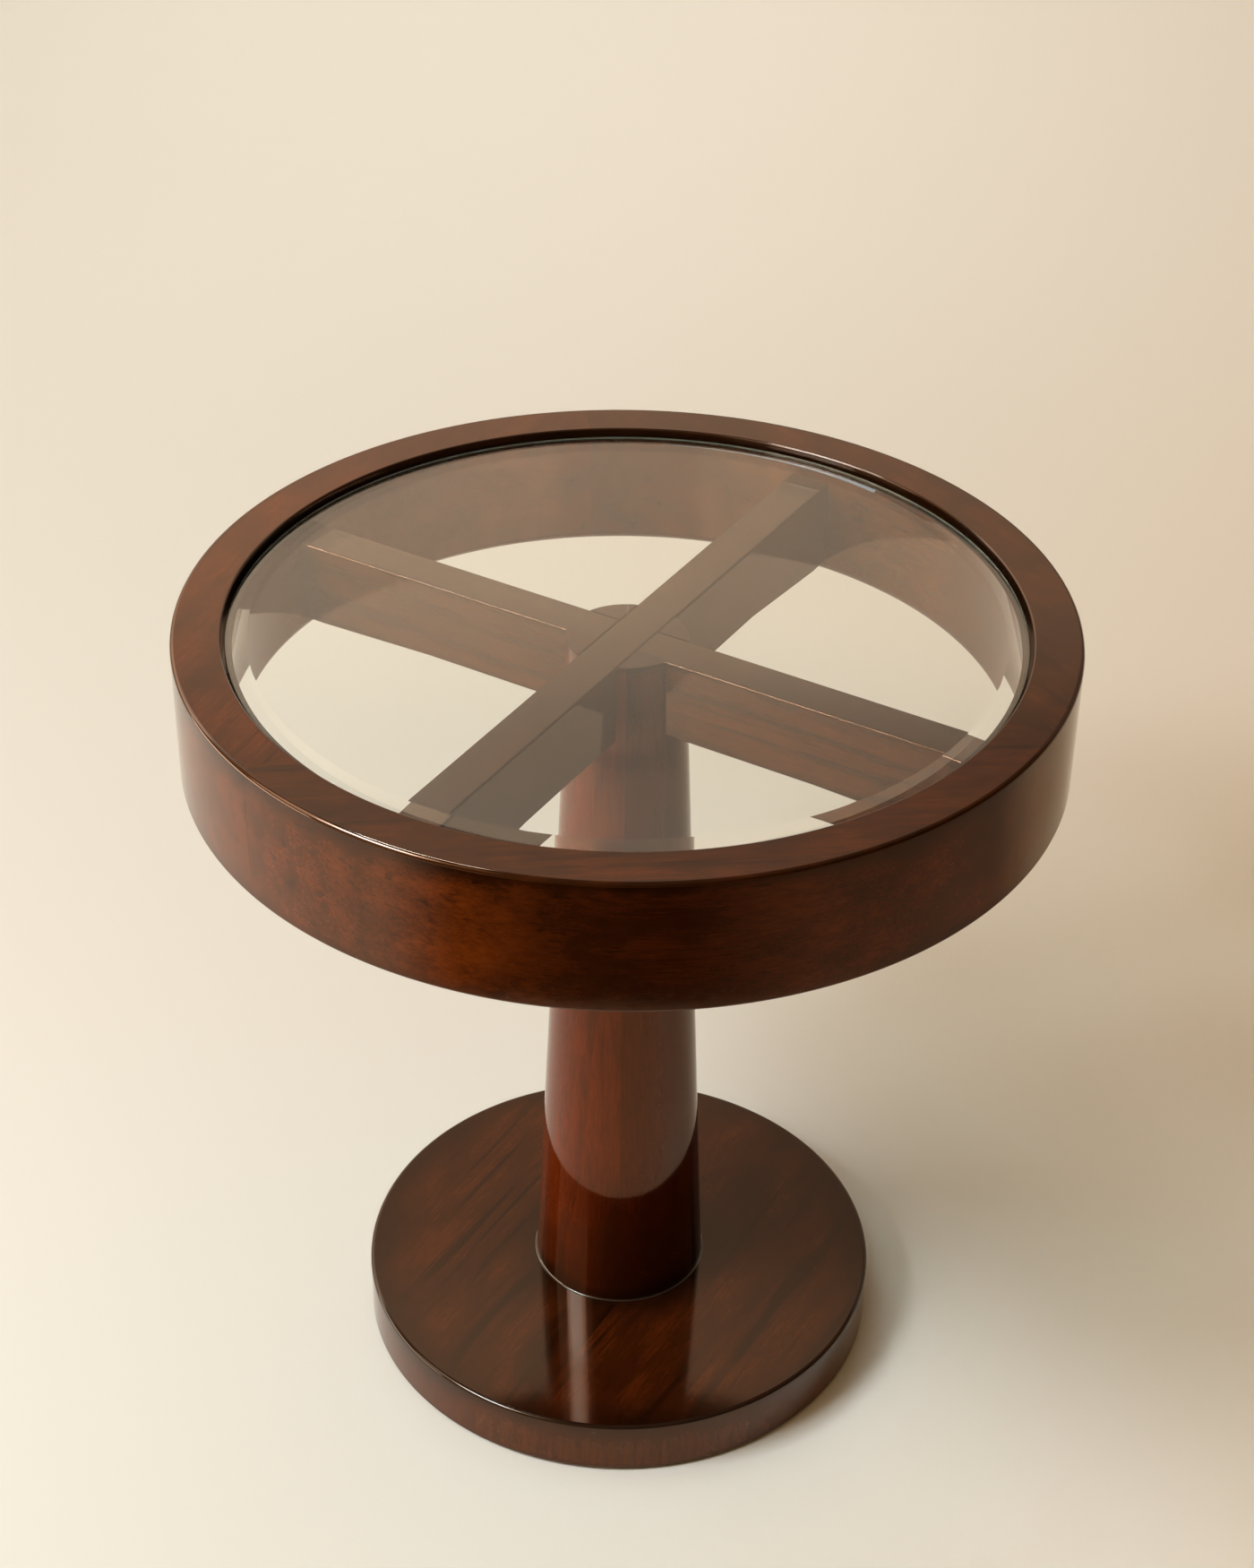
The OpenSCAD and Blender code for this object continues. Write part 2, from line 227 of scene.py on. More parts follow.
def wood(name, turn=(0, 0, 0), pith=(0.05, -0.16), ring=0.02, tones=BROWN_TONES, edge=None, seed=0.0,
         line=0.5, wander=1.0, value=1.0, lacquer=AMBER, band=0.45, side=None, flecks=0.24, veins=0.15,
         mottles=0.20, glint=None, bead=None):
    """Lacquered, stained wood. turn brings the grain onto local x; pith is the ring centre in local y, z,
    ring the width of a ring and band the share of it that is dark late wood, drawn with strength line.
    wander is how far the rings stray, and value makes all tones of the wood lighter or darker.
    flecks, veins and mottles are the strength of the short light fibres, of the long dark lines and of the
    clouds. edge, side and bead are functions that build masks: of the darker toning at the edges together
    with painted shade on top faces, in corners and in recesses, of the base's side face painted paler as
    if lit, with an end-grain pattern, and of the bead of squeezed-out lacquer at the column's foot, whose
    paler colour is a painted reflection. glint is the mask of the rounds with a whiter gloss, its tint and
    its specular level."""
    n = Surface(name)
    point = n.point()
    x, y, z = n.xyz(n.new("ShaderNodeMapping", {"vector_type": "TEXTURE"}, Vector=point,
                          Rotation=turn).outputs[0])
    run = n.add(x, seed)

    def grain(kind):
        along, cross, detail, rough = GRAIN[kind]
        return n.noise(n.vec(n.mul(run, along), n.mul(y, cross), n.mul(z, cross)), 1.0, detail, rough)

    warp = n.add(n.mul(grain("sway"), 3.0 * wander), n.mul(grain("waver"), 0.5 * wander))
    rings = n.add(n.math("DIVIDE", n.length(n.sub(y, pith[0]), n.sub(z, pith[1])), ring), warp)
    cell = n.math("FRACT", rings)
    vary = n.new("ShaderNodeTexWhiteNoise", {"noise_dimensions": "1D"},
                 W=n.math("FLOOR", rings)).outputs["Value"]
    late = n.mul(n.smooth(cell, LATE_END - band, LATE_END), n.smooth(cell, 1.0, 0.95),
                 n.scaled(vary, line, line * 0.25), n.smooth(grain("fading"), 0.30, 0.62, 0.25, 1.0))
    fibre = grain("fibre")
    light = n.add(n.mul(n.smooth(grain("streak"), 0.30, 0.70), 0.10),
                  n.mul(n.smooth(grain("cloud"), 0.25, 0.75), 0.24),
                  n.scaled(n.smooth(fibre, 0.3, 0.7), 0.16, 0.08),
                  n.mul(n.smooth(grain("fleck"), 0.28, 0.72), flecks),
                  n.scaled(n.smooth(grain("mottle"), 0.25, 0.75), mottles, 0.10 - mottles / 2))
    vein = n.mul(n.smooth(grain("vein"), 0.57, 0.66), n.smooth(grain("vein_area"), 0.40, 0.58))
    light = n.math("SUBTRACT", n.scaled(vein, -veins, light), late, clamp=True)

    ramp = n.fill("ShaderNodeValToRGB", (light,))
    stops = ramp.color_ramp.elements
    stops.new(MID_STOP)
    for stop, place, tone in zip(stops, (0.0, MID_STOP, 1.0), tones):
        stop.position = place
        stop.color = (*[c * value for c in tone], 1.0)
    pores = n.smooth(grain("pore"), 0.62, 0.74)
    colour = n.mix(n.mul(pores, 0.35), ramp.outputs[0], tones[0])
    # Painted light: a paler side face, with an end-grain pattern.
    if side:
        end_grain = n.noise(n.vec(n.mul(x, END_GRAIN_FINE), n.mul(y, END_GRAIN_FINE),
                                  n.mul(z, END_GRAIN_LONG)), 1.0, 3.0, 0.6)
        colour = n.mix(side(n, point), colour, n.mix(n.smooth(end_grain, 0.3, 0.7), LIT_SIDE_DARK, LIT_SIDE_LIGHT))
    # Darker toning at the edges, and painted shade where the masks put it.
    if edge:
        colour = n.mix(edge(n, point, n.noise(point, 18.0, 4.0, 0.6)), colour, DARK_TONING_AND_SHADE)
    rough = n.smooth(n.noise(point, 9.0, 3.0, 0.5), 0.3, 0.7, 0.045, 0.085)
    # The bead's paler colour is a painted reflection.
    if bead:
        broken = n.smooth(n.noise(point, 160.0), 0.3, 0.6, 0.2, 0.8)
        colour = n.mix(n.mul(bead(n, point), broken), colour, BEAD_PAINTED_REFLECTION)
        rough = n.scaled(bead(n, point), 0.06, rough)

    film = n.new("ShaderNodeBump", None, Strength=LACQUER_BUMP, Distance=0.002,
                 Height=n.noise(point, 42.0, 2.0, 0.5))
    relief = n.add(n.mul(fibre, 0.35), n.mul(n.sub(1.0, pores), 0.3))
    bump = n.new("ShaderNodeBump", None, Strength=LACQUER_BUMP, Distance=0.0004, Height=relief,
                 Normal=film.outputs[0])
    bsdf = n.new("ShaderNodeBsdfPrincipled", None, Base_Color=colour, Roughness=rough, IOR=LACQUER_IOR,
                 Normal=bump.outputs[0], Specular_IOR_Level=SPECULAR, Specular_Tint=lacquer)
    if glint:
        mask, tint, level = glint
        mask = mask(n, point)
        n.put(bsdf.inputs["Specular Tint"], n.mix(mask, lacquer, tint))
        n.put(bsdf.inputs["Specular IOR Level"], n.scaled(mask, level - SPECULAR, SPECULAR))
    return n.done(bsdf.outputs[0])


# Masks are 1 where they hold. Bearings are in degrees here, and the other sizes in metres.
# The bearing and widths of the painted shade on the rim's front face.
FRONT_SHADE_AZ, FRONT_SHADE_CORE, FRONT_SHADE_END = CAMERA_AZ + 3.0, 6.0, 26.0
SEAM_SHADE, SEAM_BLUR = 36.0, 0.3
SEAM_SHADE_LOW, SEAM_SHADE_TOP = 0.080, 0.150
ROUND_NEAR, ROUND_FAR = 0.0021, 0.0029
GLINT_START, GLINT_FULL = -20.0, -30.0
MIRROR_LOW, MIRROR_TOP = 0.055, 0.090


def near(n, distance, noise, width, strength):
    """strength where distance is 0, falling to 0 over about width, with a soft uneven border."""
    uneven = n.add(distance, n.mul(n.sub(noise, 0.5), width * 1.1))
    return n.mul(n.smooth(uneven, width, 0.0), strength)


def radius(n, point):
    x, y, z = n.xyz(point)
    return n.length(x, y), z


def turned(n, point, bearing):
    """The signed angle of a point from a bearing in radians, seen from above, 0 on it."""
    x, y, z = n.xyz(point)
    c, s = math.cos(bearing), math.sin(bearing)
    return n.math("ARCTAN2", n.sub(n.mul(y, c), n.mul(x, s)), n.add(n.mul(x, c), n.mul(y, s)))


def rim_toning_and_shade(n, point, noise):
    r, z = radius(n, point)
    down, up = n.sub(TABLE_H, z), n.sub(z, RIM_Z)
    inward = n.sub(RIM_R, r)
    edges = n.most(near(n, n.add(inward, n.mul(down, 2.0)), noise, width=0.009, strength=0.7),
                   near(n, n.add(down, n.mul(inward, 3.0)), noise, width=0.020, strength=0.9),
                   near(n, n.add(up, n.mul(inward, 0.5)), noise, width=0.013, strength=0.6),
                   near(n, n.add(n.gap(r, REBATE_R), n.mul(down, 2.0)), noise, width=0.007, strength=0.6))
    # Painted shade on the rebate's wall and ledge beside the glass.
    rebate = n.mul(n.smooth(r, REBATE_R + 0.0016, REBATE_R + 0.0004), n.smooth(z, LEDGE_Z - 0.001, LEDGE_Z))
    # Painted shade: a darker area on the outer face near the front, centred on the camera's bearing.
    off = n.math("ABSOLUTE", turned(n, point, rad(FRONT_SHADE_AZ)))
    painted_front_shade = n.mul(n.smooth(off, rad(FRONT_SHADE_END), rad(FRONT_SHADE_CORE)),
                  n.smooth(r, RIM_R - 0.004, RIM_R - 0.001), 0.6)
    # Painted shade: the rim's top face is darkened, unevenly.
    top = n.mul(n.smooth(z, TABLE_H - 0.003, TABLE_H - 0.0004), n.smooth(noise, 0.30, 0.70, 0.28, 0.62))
    return n.math("MAXIMUM", n.most(edges, painted_front_shade, top), rebate, clamp=True)


def base_toning_and_shade(n, point, noise):
    r, z = radius(n, point)
    down = n.sub(BASE_TOP, z)
    top = near(n, n.add(n.sub(BASE_R, r), n.mul(down, 1.4)), noise, width=0.034, strength=0.92)
    low = near(n, n.sub(z, BASE_Z), noise, width=0.007, strength=0.7)
    # Painted shade on the base's top around the column's foot.
    foot = near(n, n.add(n.gap(r, FOOT_R), n.mul(down, 2.0)), noise, width=0.034, strength=0.85)
    return n.math("MAXIMUM", n.most(top, low), foot, clamp=True)


def base_side_painted_light(n, point):
    r, z = radius(n, point)
    return n.mul(n.smooth(r, BASE_R - 0.0024, BASE_R - 0.0004),
                 n.smooth(z, BASE_TOP - 0.002, BASE_TOP - 0.012), 0.75)


def column_painted_shade(n, point, noise):
    z = n.xyz(point)["Z"]
    up = n.sub(z, BASE_TOP)
    # Painted shade low on the column, darkest where it meets the base.
    foot = n.most(near(n, up, noise, width=0.034, strength=0.97),
                  near(n, up, noise, width=0.170, strength=0.62))
    # Painted shade on the head posts' tops and their upper few millimetres.
    head = near(n, n.sub(BAR_TOP, z), noise, width=0.008, strength=0.85)
    # Painted shade: low on the column, the left half darkens towards the glue line at the front, so that it
    # fades into the darker right half.
    off = turned(n, point, rad(SPLIT - 180.0))
    painted_seam_shade = n.mul(n.smooth(off, rad(-SEAM_SHADE), rad(-2.0)),
                 n.smooth(off, rad(-SEAM_BLUR), rad(SEAM_BLUR), 0.70, 0.30),
                 n.smooth(up, SEAM_SHADE_TOP, SEAM_SHADE_LOW))
    foot = n.sub(n.add(foot, painted_seam_shade), n.mul(foot, painted_seam_shade))
    return n.math("MAXIMUM", foot, head, clamp=True)


def bar_toning_and_shade(n, point, noise):
    r, z = radius(n, point)
    # Painted shade towards the bars' ends, where they meet the rim.
    end = near(n, n.sub(INNER_R, r), noise, width=0.025, strength=0.7)
    up = near(n, n.sub(BAR_TOP, z), noise, width=0.005, strength=0.35)
    low = near(n, n.sub(z, BAR_Z), noise, width=0.006, strength=0.45)
    # Painted shade on the bars' top faces.
    painted_top_shade = n.smooth(z, BAR_TOP - 0.0012, BAR_TOP - 0.0002, 0.0, 0.6)
    return n.math("MAXIMUM", n.most(up, low), n.most(end, painted_top_shade), clamp=True)


def outer_round(n, point, outer_r, top):
    """The round where a disc's outer face of radius outer_r meets its top."""
    r, z = radius(n, point)
    return n.smooth(n.add(n.sub(outer_r, r), n.sub(top, z)), ROUND_FAR, ROUND_NEAR)


def rim_glint(n, point):
    """The outer top round to the left of the front, and the edge of the rebate."""
    r, z = radius(n, point)
    down = n.sub(TABLE_H, z)
    outer = n.mul(outer_round(n, point, RIM_R, TABLE_H),
                  n.smooth(turned(n, point, rad(CAMERA_AZ)), rad(GLINT_START), rad(GLINT_FULL)))
    inner = n.smooth(n.add(n.gap(r, REBATE_R), down), 0.0015, 0.0010)
    return n.most(outer, inner)


def base_glint(n, point):
    return outer_round(n, point, BASE_R, BASE_TOP)


def foot_bead(n, point):
    r, z = radius(n, point)
    return n.mul(n.smooth(z, BASE_TOP + 0.0017, BASE_TOP + 0.0012), n.smooth(r, FOOT_R - 0.0003, FOOT_R))


def foot_glint(n, point):
    """The bead, and in part the low end of the column, which mirrors the base."""
    low = n.mul(n.smooth(n.xyz(point)["Z"], BASE_TOP + MIRROR_TOP, BASE_TOP + MIRROR_LOW), 0.45)
    return n.most(low, foot_bead(n, point))


# Other materials
def plain(name, colour, rough, scale=200.0, bump=0.1, spread=0.25, metal=0.0, sheen=0.0):
    """An unlacquered material with uneven colour and a fine bump of the given scale."""
    n = Surface(name)
    point = n.point()
    broad, fine = n.noise(point, scale * 0.15, 3.0, 0.6), n.noise(point, scale, 3.0, 0.6)
    dark = tuple(c * (1 - spread) for c in colour)
    pale = tuple(min(1, c * (1 + spread)) for c in colour)
    tone = n.mix(n.smooth(n.scaled(fine, 0.5, n.mul(broad, 0.5)), 0.3, 0.7), dark, pale)
    relief = n.new("ShaderNodeBump", None, Strength=bump, Distance=0.001, Height=fine)
    uneven = n.smooth(broad, 0.3, 0.7, rough * 0.85, min(1.0, rough * 1.15))
    bsdf = n.new("ShaderNodeBsdfPrincipled", None, Base_Color=tone, Roughness=uneven,
                 Normal=relief.outputs[0], Metallic=metal, Sheen_Weight=sheen)
    return n.done(bsdf.outputs[0])


def clear_glass():
    """Clear glass, greener and partly ground at its edge, that lets the lamps' light through."""
    n = Surface("clear_glass")
    point = n.point()
    r = radius(n, point)[0]
    smear = n.smooth(n.noise(point, 5.0, 4.0, 0.6), 0.45, 0.75, 0.0, 0.012)
    tint = n.mix(n.smooth(r, GLASS_R - 0.003, GLASS_R), GLASS_FACE, GLASS_EDGE)
    bsdf = n.new("ShaderNodeBsdfPrincipled", None, Base_Color=tint, Roughness=smear, IOR=GLASS_IOR,
                 Transmission_Weight=1.0)
    grit = n.mix(n.noise(point, 700.0), GROUND_DARK, GROUND_PALE)
    ground = n.new("ShaderNodeBsdfDiffuse", None, Color=grit)
    land = n.mul(n.smooth(r, GLASS_R - 0.0010, GLASS_R - 0.0004), 0.30)
    body = n.blend(land, bsdf.outputs[0], ground.outputs[0])
    clear = n.new("ShaderNodeBsdfTransparent", None, Color=GLASS_SHADOW)
    return n.done(n.blend(n.ray("Shadow"), body, clear.outputs[0]))


# Mesh helpers
RIM_STEPS, PANE_STEPS, COLUMN_STEPS = 200, 480, 120
POST_STEPS, END_STEPS, BOARD_STEPS = 24, 96, 48


def link(name, data):
    """A new object in the scene that shows a mesh, lamp or camera."""
    shown = bpy.data.objects.new(name, data)
    bpy.context.scene.collection.objects.link(shown)
    return shown


def make(name, verts, faces, material, body="table", sharp=35.0):
    """A smooth-shaded piece with sharp edges where its faces turn by more than sharp degrees."""
    mesh = bpy.data.meshes.new(name)
    mesh.from_pydata([tuple(v) for v in verts], [], faces)
    mesh.validate()
    work = bmesh.new()
    work.from_mesh(mesh)
    bmesh.ops.remove_doubles(work, verts=work.verts, dist=1e-7)
    bmesh.ops.recalc_face_normals(work, faces=work.faces)
    for face in work.faces:
        face.smooth = True
    for edge in work.edges:
        if len(edge.link_faces) == 2 and edge.calc_face_angle() > rad(sharp):
            edge.smooth = False
    work.to_mesh(mesh)
    work.free()
    piece = link(name, mesh)
    mesh.materials.append(material)
    weigh = piece.modifiers.new("flat_faces", "WEIGHTED_NORMAL")
    weigh.keep_sharp = True
    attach(piece, body)
    return piece


def arc(r, a0, a1, steps):
    """Points of a circle about the origin, from bearing a0 to a1."""
    return [(r * math.cos(rad(a0 + (a1 - a0) * k / steps)), r * math.sin(rad(a0 + (a1 - a0) * k / steps)))
            for k in range(steps + 1)]


def revolve(loop, a0, a1, steps):
    """A closed loop of (r, z) turned from bearing a0 to a1, with a cap at both ends."""
    m = len(loop)
    verts, faces = [], []
    for c, s in arc(1.0, a0, a1, steps):
        verts += [(r * c, r * s, z) for r, z in loop]
    for i in range(steps):
        p, q = i * m, (i + 1) * m
        faces += [(p + j, p + (j + 1) % m, q + (j + 1) % m, q + j) for j in range(m)]
    faces.append(tuple(range(m))[::-1])
    faces.append(tuple(range(steps * m, (steps + 1) * m)))
    return verts, faces


def rounded(points, radii, steps):
    """A closed loop of points; radii gives a fillet radius for some of them, by index."""
    out = []
    for i, p in enumerate(points):
        r = radii.get(i, 0.0)
        if r <= 0:
            out.append(p)
            continue
        p = Vector(p)
        a = (Vector(points[i - 1]) - p).normalized()
        b = (Vector(points[(i + 1) % len(points)]) - p).normalized()
        half = a.angle(b) / 2
        reach = r / math.tan(half)
        centre = p + (a + b).normalized() * (r / math.sin(half))
        s, e = p + a * reach - centre, p + b * reach - centre
        turn = s.angle(e) if s.x * e.y - s.y * e.x > 0 else -s.angle(e)
        for k in range(steps + 1):
            w = turn * k / steps
            out.append((centre.x + s.x * math.cos(w) - s.y * math.sin(w),
                        centre.y + s.x * math.sin(w) + s.y * math.cos(w)))
    return out


def loft(rings, bottom=True):
    """Rings of equal point count joined in order and closed at the last one, and at the first if bottom."""
    m, count = len(rings[0]), len(rings)
    faces = [(j * m + i, j * m + (i + 1) % m, (j + 1) * m + (i + 1) % m, (j + 1) * m + i)
             for j in range(count - 1) for i in range(m)]
    if bottom:
        faces.append(tuple(range(m))[::-1])
    faces.append(tuple(range((count - 1) * m, count * m)))
    return [p for ring in rings for p in ring], faces


# Materials of the pieces
def across(start, end):
    """Rotation that lays local x along the chord of a segment between two bearings."""
    return (0.0, 0.0, rad((start + end) / 2 + 90.0))


RIM_FRONT = (SEAMS[2] - 360.0, SEAMS[0])
RIM_RIGHT = (SEAMS[0], SEAMS[1])
RIM_LEFT = (SEAMS[1], SEAMS[2])
ALONG_Y = (0.0, 0.0, rad(90.0))
UPRIGHT = (0.0, rad(-90.0), 0.0)

rim_look = {"edge": rim_toning_and_shade, "glint": (rim_glint, RIM_SHINE, FULL_GLINT)}
wood_front = wood("rim_wood_front", across(*RIM_FRONT), (0.33, 0.50), 0.022, tones=RIM_TONES, seed=1.7,
                  line=0.16, value=0.96, flecks=0.30, veins=0.30, mottles=0.50, **rim_look)
wood_right = wood("rim_wood_right", across(*RIM_RIGHT), (0.30, 0.47), 0.021, seed=7.1,
                  line=0.12, value=0.88, flecks=0.26, veins=0.28, mottles=0.45, **rim_look)
wood_left = wood("rim_wood_left", across(*RIM_LEFT), (0.31, 0.66), 0.024, tones=RIM_TONES, seed=12.9,
                 line=0.12, value=1.08, flecks=0.28, veins=0.28, mottles=0.45, **rim_look)

bar_look = {"edge": bar_toning_and_shade, "line": 0.3, "value": 0.85}
wood_bar_y = wood("bar_wood_long", ALONG_Y, (0.06, 0.45), 0.016, seed=3.3, **bar_look)
wood_bar_x = wood("bar_wood_cross", (0.0, 0.0, 0.0), (-0.07, 0.47), 0.016, seed=5.9, **bar_look)

column_look = {"tones": RED_TONES, "edge": column_painted_shade, "glint": (foot_glint, FOOT_SHINE, FULL_GLINT),
               "bead": foot_bead, "line": 0.3, "lacquer": RED_AMBER, "band": 0.3}
# Painted light and shade: the left half of the column is made lighter and the right half darker, as the key
# light falls from the left.
wood_col_lit = wood("column_wood_left_painted_light", UPRIGHT, (0.16, 0.09), 0.02, seed=2.2, value=1.62, **column_look)
wood_col_shaded = wood("column_wood_right_painted_shade", UPRIGHT, (-0.15, -0.08), 0.02, seed=8.4, value=0.74, **column_look)

BOARD_VALUE = (1.0608, 0.9792, 1.02, 0.969, 1.0506)
BOARD_PITH = ((0.15, -0.05), (0.10, 0.26), (-0.02, -0.16), (-0.12, 0.24), (-0.10, -0.06))
board_look = {"tones": BASE_TONES, "edge": base_toning_and_shade, "glint": (base_glint, BASE_SHINE, SOFT_GLINT),
              "side": base_side_painted_light, "line": 0.9, "wander": 0.9, "band": 0.12, "flecks": 0.20, "veins": 0.6,
              "mottles": 0.42}
wood_board = [wood(f"base_wood_{i + 1}", ALONG_Y, BOARD_PITH[i], 0.024, seed=1.3 + 4.7 * i,
                   value=BOARD_VALUE[i], **board_look) for i in range(5)]

dowel_wood = plain("dowel_wood", srgb(196, 158, 110), 0.6, 400.0, 0.2)
steel = plain("screw_steel", (0.56, 0.54, 0.5), 0.32, 900.0, 0.15, 0.1, metal=1.0)
felt = plain("felt", srgb(58, 47, 39), 0.95, 1500.0, 0.9, 0.4, sheen=0.4)
glass = clear_glass()

# Rim
RIM_LOOP = rounded([(INNER_R, RIM_Z), (RIM_R, RIM_Z), (RIM_R, TABLE_H), (REBATE_R, TABLE_H),
                    (REBATE_R, LEDGE_Z), (INNER_R, LEDGE_Z)],
                   {0: 0.008, 1: 0.002, 2: 0.003, 3: 0.0015, 5: 0.0006}, steps=8)
SEAM_GAP = 0.008
for name, (a0, a1), material in (("rim_front", RIM_FRONT, wood_front), ("rim_right", RIM_RIGHT, wood_right),
                                 ("rim_left", RIM_LEFT, wood_left)):
    segment = make(name, *revolve(RIM_LOOP, a0 + SEAM_GAP, a1 - SEAM_GAP, RIM_STEPS), material)
    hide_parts(name.replace("rim_", "rim_segment_"))

# Glass
CLEAR = 0.00005
GLASS_SEAT = LEDGE_Z + CLEAR
GLASS_TOP = GLASS_SEAT + GLASS_T
LAND_TOP = GLASS_TOP - BEVEL_DROP
BEVEL_START, BEVEL_DIP = 0.0004, 0.00002
TOP_ARRIS, LOW_ARRIS = 0.0005, 0.0006
PANE = ((GLASS_R - BEVEL_W, GLASS_TOP), (GLASS_R - BEVEL_W + BEVEL_START, GLASS_TOP - BEVEL_DIP),
        (GLASS_R - TOP_ARRIS, LAND_TOP), (GLASS_R, LAND_TOP - TOP_ARRIS),
        (GLASS_R, GLASS_SEAT + LOW_ARRIS), (GLASS_R - LOW_ARRIS, GLASS_SEAT))
pane_rings = [[(x, y, z) for x, y in arc(r, 0.0, 360.0, PANE_STEPS)[:-1]] for r, z in PANE]
pane = make("glass_pane", *loft(pane_rings), glass, body="glass", sharp=3.0)
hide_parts("glass_top")

# Bars
BAR_END = INNER_R - CLEAR
HAUNCH_START, HAUNCH_FULL, HAUNCH_STEPS = 0.150, 0.240, 10
LAP = 0.0151


def bar(name, drop, along_y, over, material):
    """A coped bar with rounded edges and its half of the lap. It deepens by drop towards its ends."""
    half, top_r, low_r = BAR_W / 2, 0.0015, 0.0006
    lap_z = (BAR_TOP + BAR_Z) / 2
    rise = HAUNCH_FULL - HAUNCH_START
    run = [BAR_END, HAUNCH_FULL]
    run += [HAUNCH_START + rise * k / HAUNCH_STEPS for k in range(HAUNCH_STEPS - 1, 0, -1)]
    run += [HAUNCH_START, 0.1, 0.05, LAP]
    stations = [(-s, False) for s in run] + [(-LAP, True), (LAP, True)] + [(s, False) for s in run[::-1]]
    rings = []
    for s, lapped in stations:
        z0, z1 = BAR_Z - drop * min(max((abs(s) - HAUNCH_START) / rise, 0.0), 1.0), BAR_TOP
        if lapped:
            z0, z1 = (lap_z, BAR_TOP) if over else (BAR_Z, lap_z)
        ring = []
        for w, z in rounded([(-half, z0), (half, z0), (half, z1), (-half, z1)],
                            {0: low_r, 1: low_r, 2: top_r, 3: top_r}, steps=5):
            x = math.copysign(math.sqrt(BAR_END ** 2 - w * w), s) if abs(s) == BAR_END else s
            ring.append((-w, x, z) if along_y else (x, w, z))
        rings.append(ring)
    return make(name, *loft(rings), material)


long_bar = bar("bar_long", drop=0.008, along_y=True, over=True, material=wood_bar_y)
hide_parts("cross_bar_upper")
cross_bar = bar("bar_cross", drop=0.003, along_y=False, over=False, material=wood_bar_x)
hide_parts("cross_bar_lower")

# Column
SLOT = BAR_W / 2 + 0.0001
SPLIT_GAP = 0.06
BODY_GAP = 0.03
BEAD = 0.0014
TENON_R, TENON_L = 0.022, 0.026
SHAFT_Z = BASE_TOP + 0.0012


def cone_r(z):
    if z < RIM_Z:
        return FOOT_R + (NECK_R - FOOT_R) * (z - SHAFT_Z) / (RIM_Z - SHAFT_Z)
    return NECK_R + (HEAD_R - NECK_R) * (z - RIM_Z) / (BAR_TOP - RIM_Z)


def post(cx, cy, b0, b1, inner):
    """One part of a head post, open below: an arc from bearing b0 to b1, then the inner corner points.
    cx and cy are the signs of its quadrant. b0 or b1 of None is where the arc meets the slot's wall."""
    rings = []
    for z, inset in ((BAR_Z, 0.0), (BAR_Z + 0.028, 0.0), (BAR_TOP - 0.0008, 0.0),
                     (BAR_TOP - 0.0002, 0.0003), (BAR_TOP, 0.0008)):
        r = cone_r(z) - inset
        reach = math.sqrt(r * r - SLOT * SLOT)
        walls = sorted((math.degrees(math.atan2(cy * reach, cx * SLOT)),
                        math.degrees(math.atan2(cy * SLOT, cx * reach))))
        a0 = walls[0] if b0 is None else b0
        a1 = walls[1] if b1 is None else b1
        rings.append([(x, y, z) for x, y in arc(r, a0, a1, POST_STEPS) + inner])
    return loft(rings, bottom=False)


def at_split(bearing):
    """Where the glue line crosses the slot's wall x = SLOT or x = -SLOT."""
    x = math.copysign(SLOT, math.cos(rad(bearing)))
    return (x, x * math.tan(rad(bearing)))


def column_half(name, left, material):
    """Half of the column with its tenon, the cove at its foot and its parts of the slotted head."""
    turn = SPLIT + 90.0 if left else SPLIT - 90.0
    loop = [(0.0, BASE_TOP - TENON_L), (TENON_R - 0.001, BASE_TOP - TENON_L),
            (TENON_R, BASE_TOP - TENON_L + 0.001), (TENON_R, BASE_TOP),
            (FOOT_R + BEAD, BASE_TOP), (FOOT_R + BEAD, BASE_TOP + CLEAR)]
    loop += [(FOOT_R + BEAD * (1 - math.sin(rad(a))), BASE_TOP + BEAD * (1 - math.cos(rad(a))))
             for a in (20, 40, 60, 80)]
    loop += [(FOOT_R, BASE_TOP + BEAD)]
    loop += [(cone_r(z), z) for z in (0.1, 0.2, 0.3, 0.4, RIM_Z, BAR_Z)] + [(0.0, BAR_Z)]
    verts, faces = revolve(loop, turn - 90.0 + BODY_GAP, turn + 90.0 - BODY_GAP, COLUMN_STEPS)
    front, back = SPLIT - 180.0, SPLIT
    if left:
        a, b = back + SPLIT_GAP, front - SPLIT_GAP
        posts = (post(-1, -1, None, None, [(-SLOT, -SLOT)]),
                 post(-1, 1, a, None, [(-SLOT, SLOT), at_split(a)]),
                 post(1, -1, None, b, [at_split(b)]))
    else:
        a, b = front + SPLIT_GAP, back - SPLIT_GAP
        posts = (post(1, 1, None, None, [(SLOT, SLOT)]),
                 post(1, -1, a, None, [(SLOT, -SLOT), at_split(a)]),
                 post(-1, 1, None, b, [at_split(b)]))
    for more_verts, more_faces in posts:
        first = len(verts)
        verts += more_verts
        faces += [tuple(first + i for i in face) for face in more_faces]
    return make(name, verts, faces, material)


for name, left, material in (("column_left", True, wood_col_lit), ("column_right", False, wood_col_shaded)):
    half = column_half(name, left, material)
    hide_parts("column_half_left" if left else "column_half_right")

# Base
BASE_ROUND = 0.003
EDGE = [(0.0015, BASE_Z), (0.0005, BASE_Z + 0.0006), (0.0, BASE_Z + 0.0015)]
EDGE += [(BASE_ROUND * (1 - math.cos(rad(a))), BASE_TOP - BASE_ROUND * (1 - math.sin(rad(a))))
         for a in range(0, 91, 10)]
GLUE = 0.00002


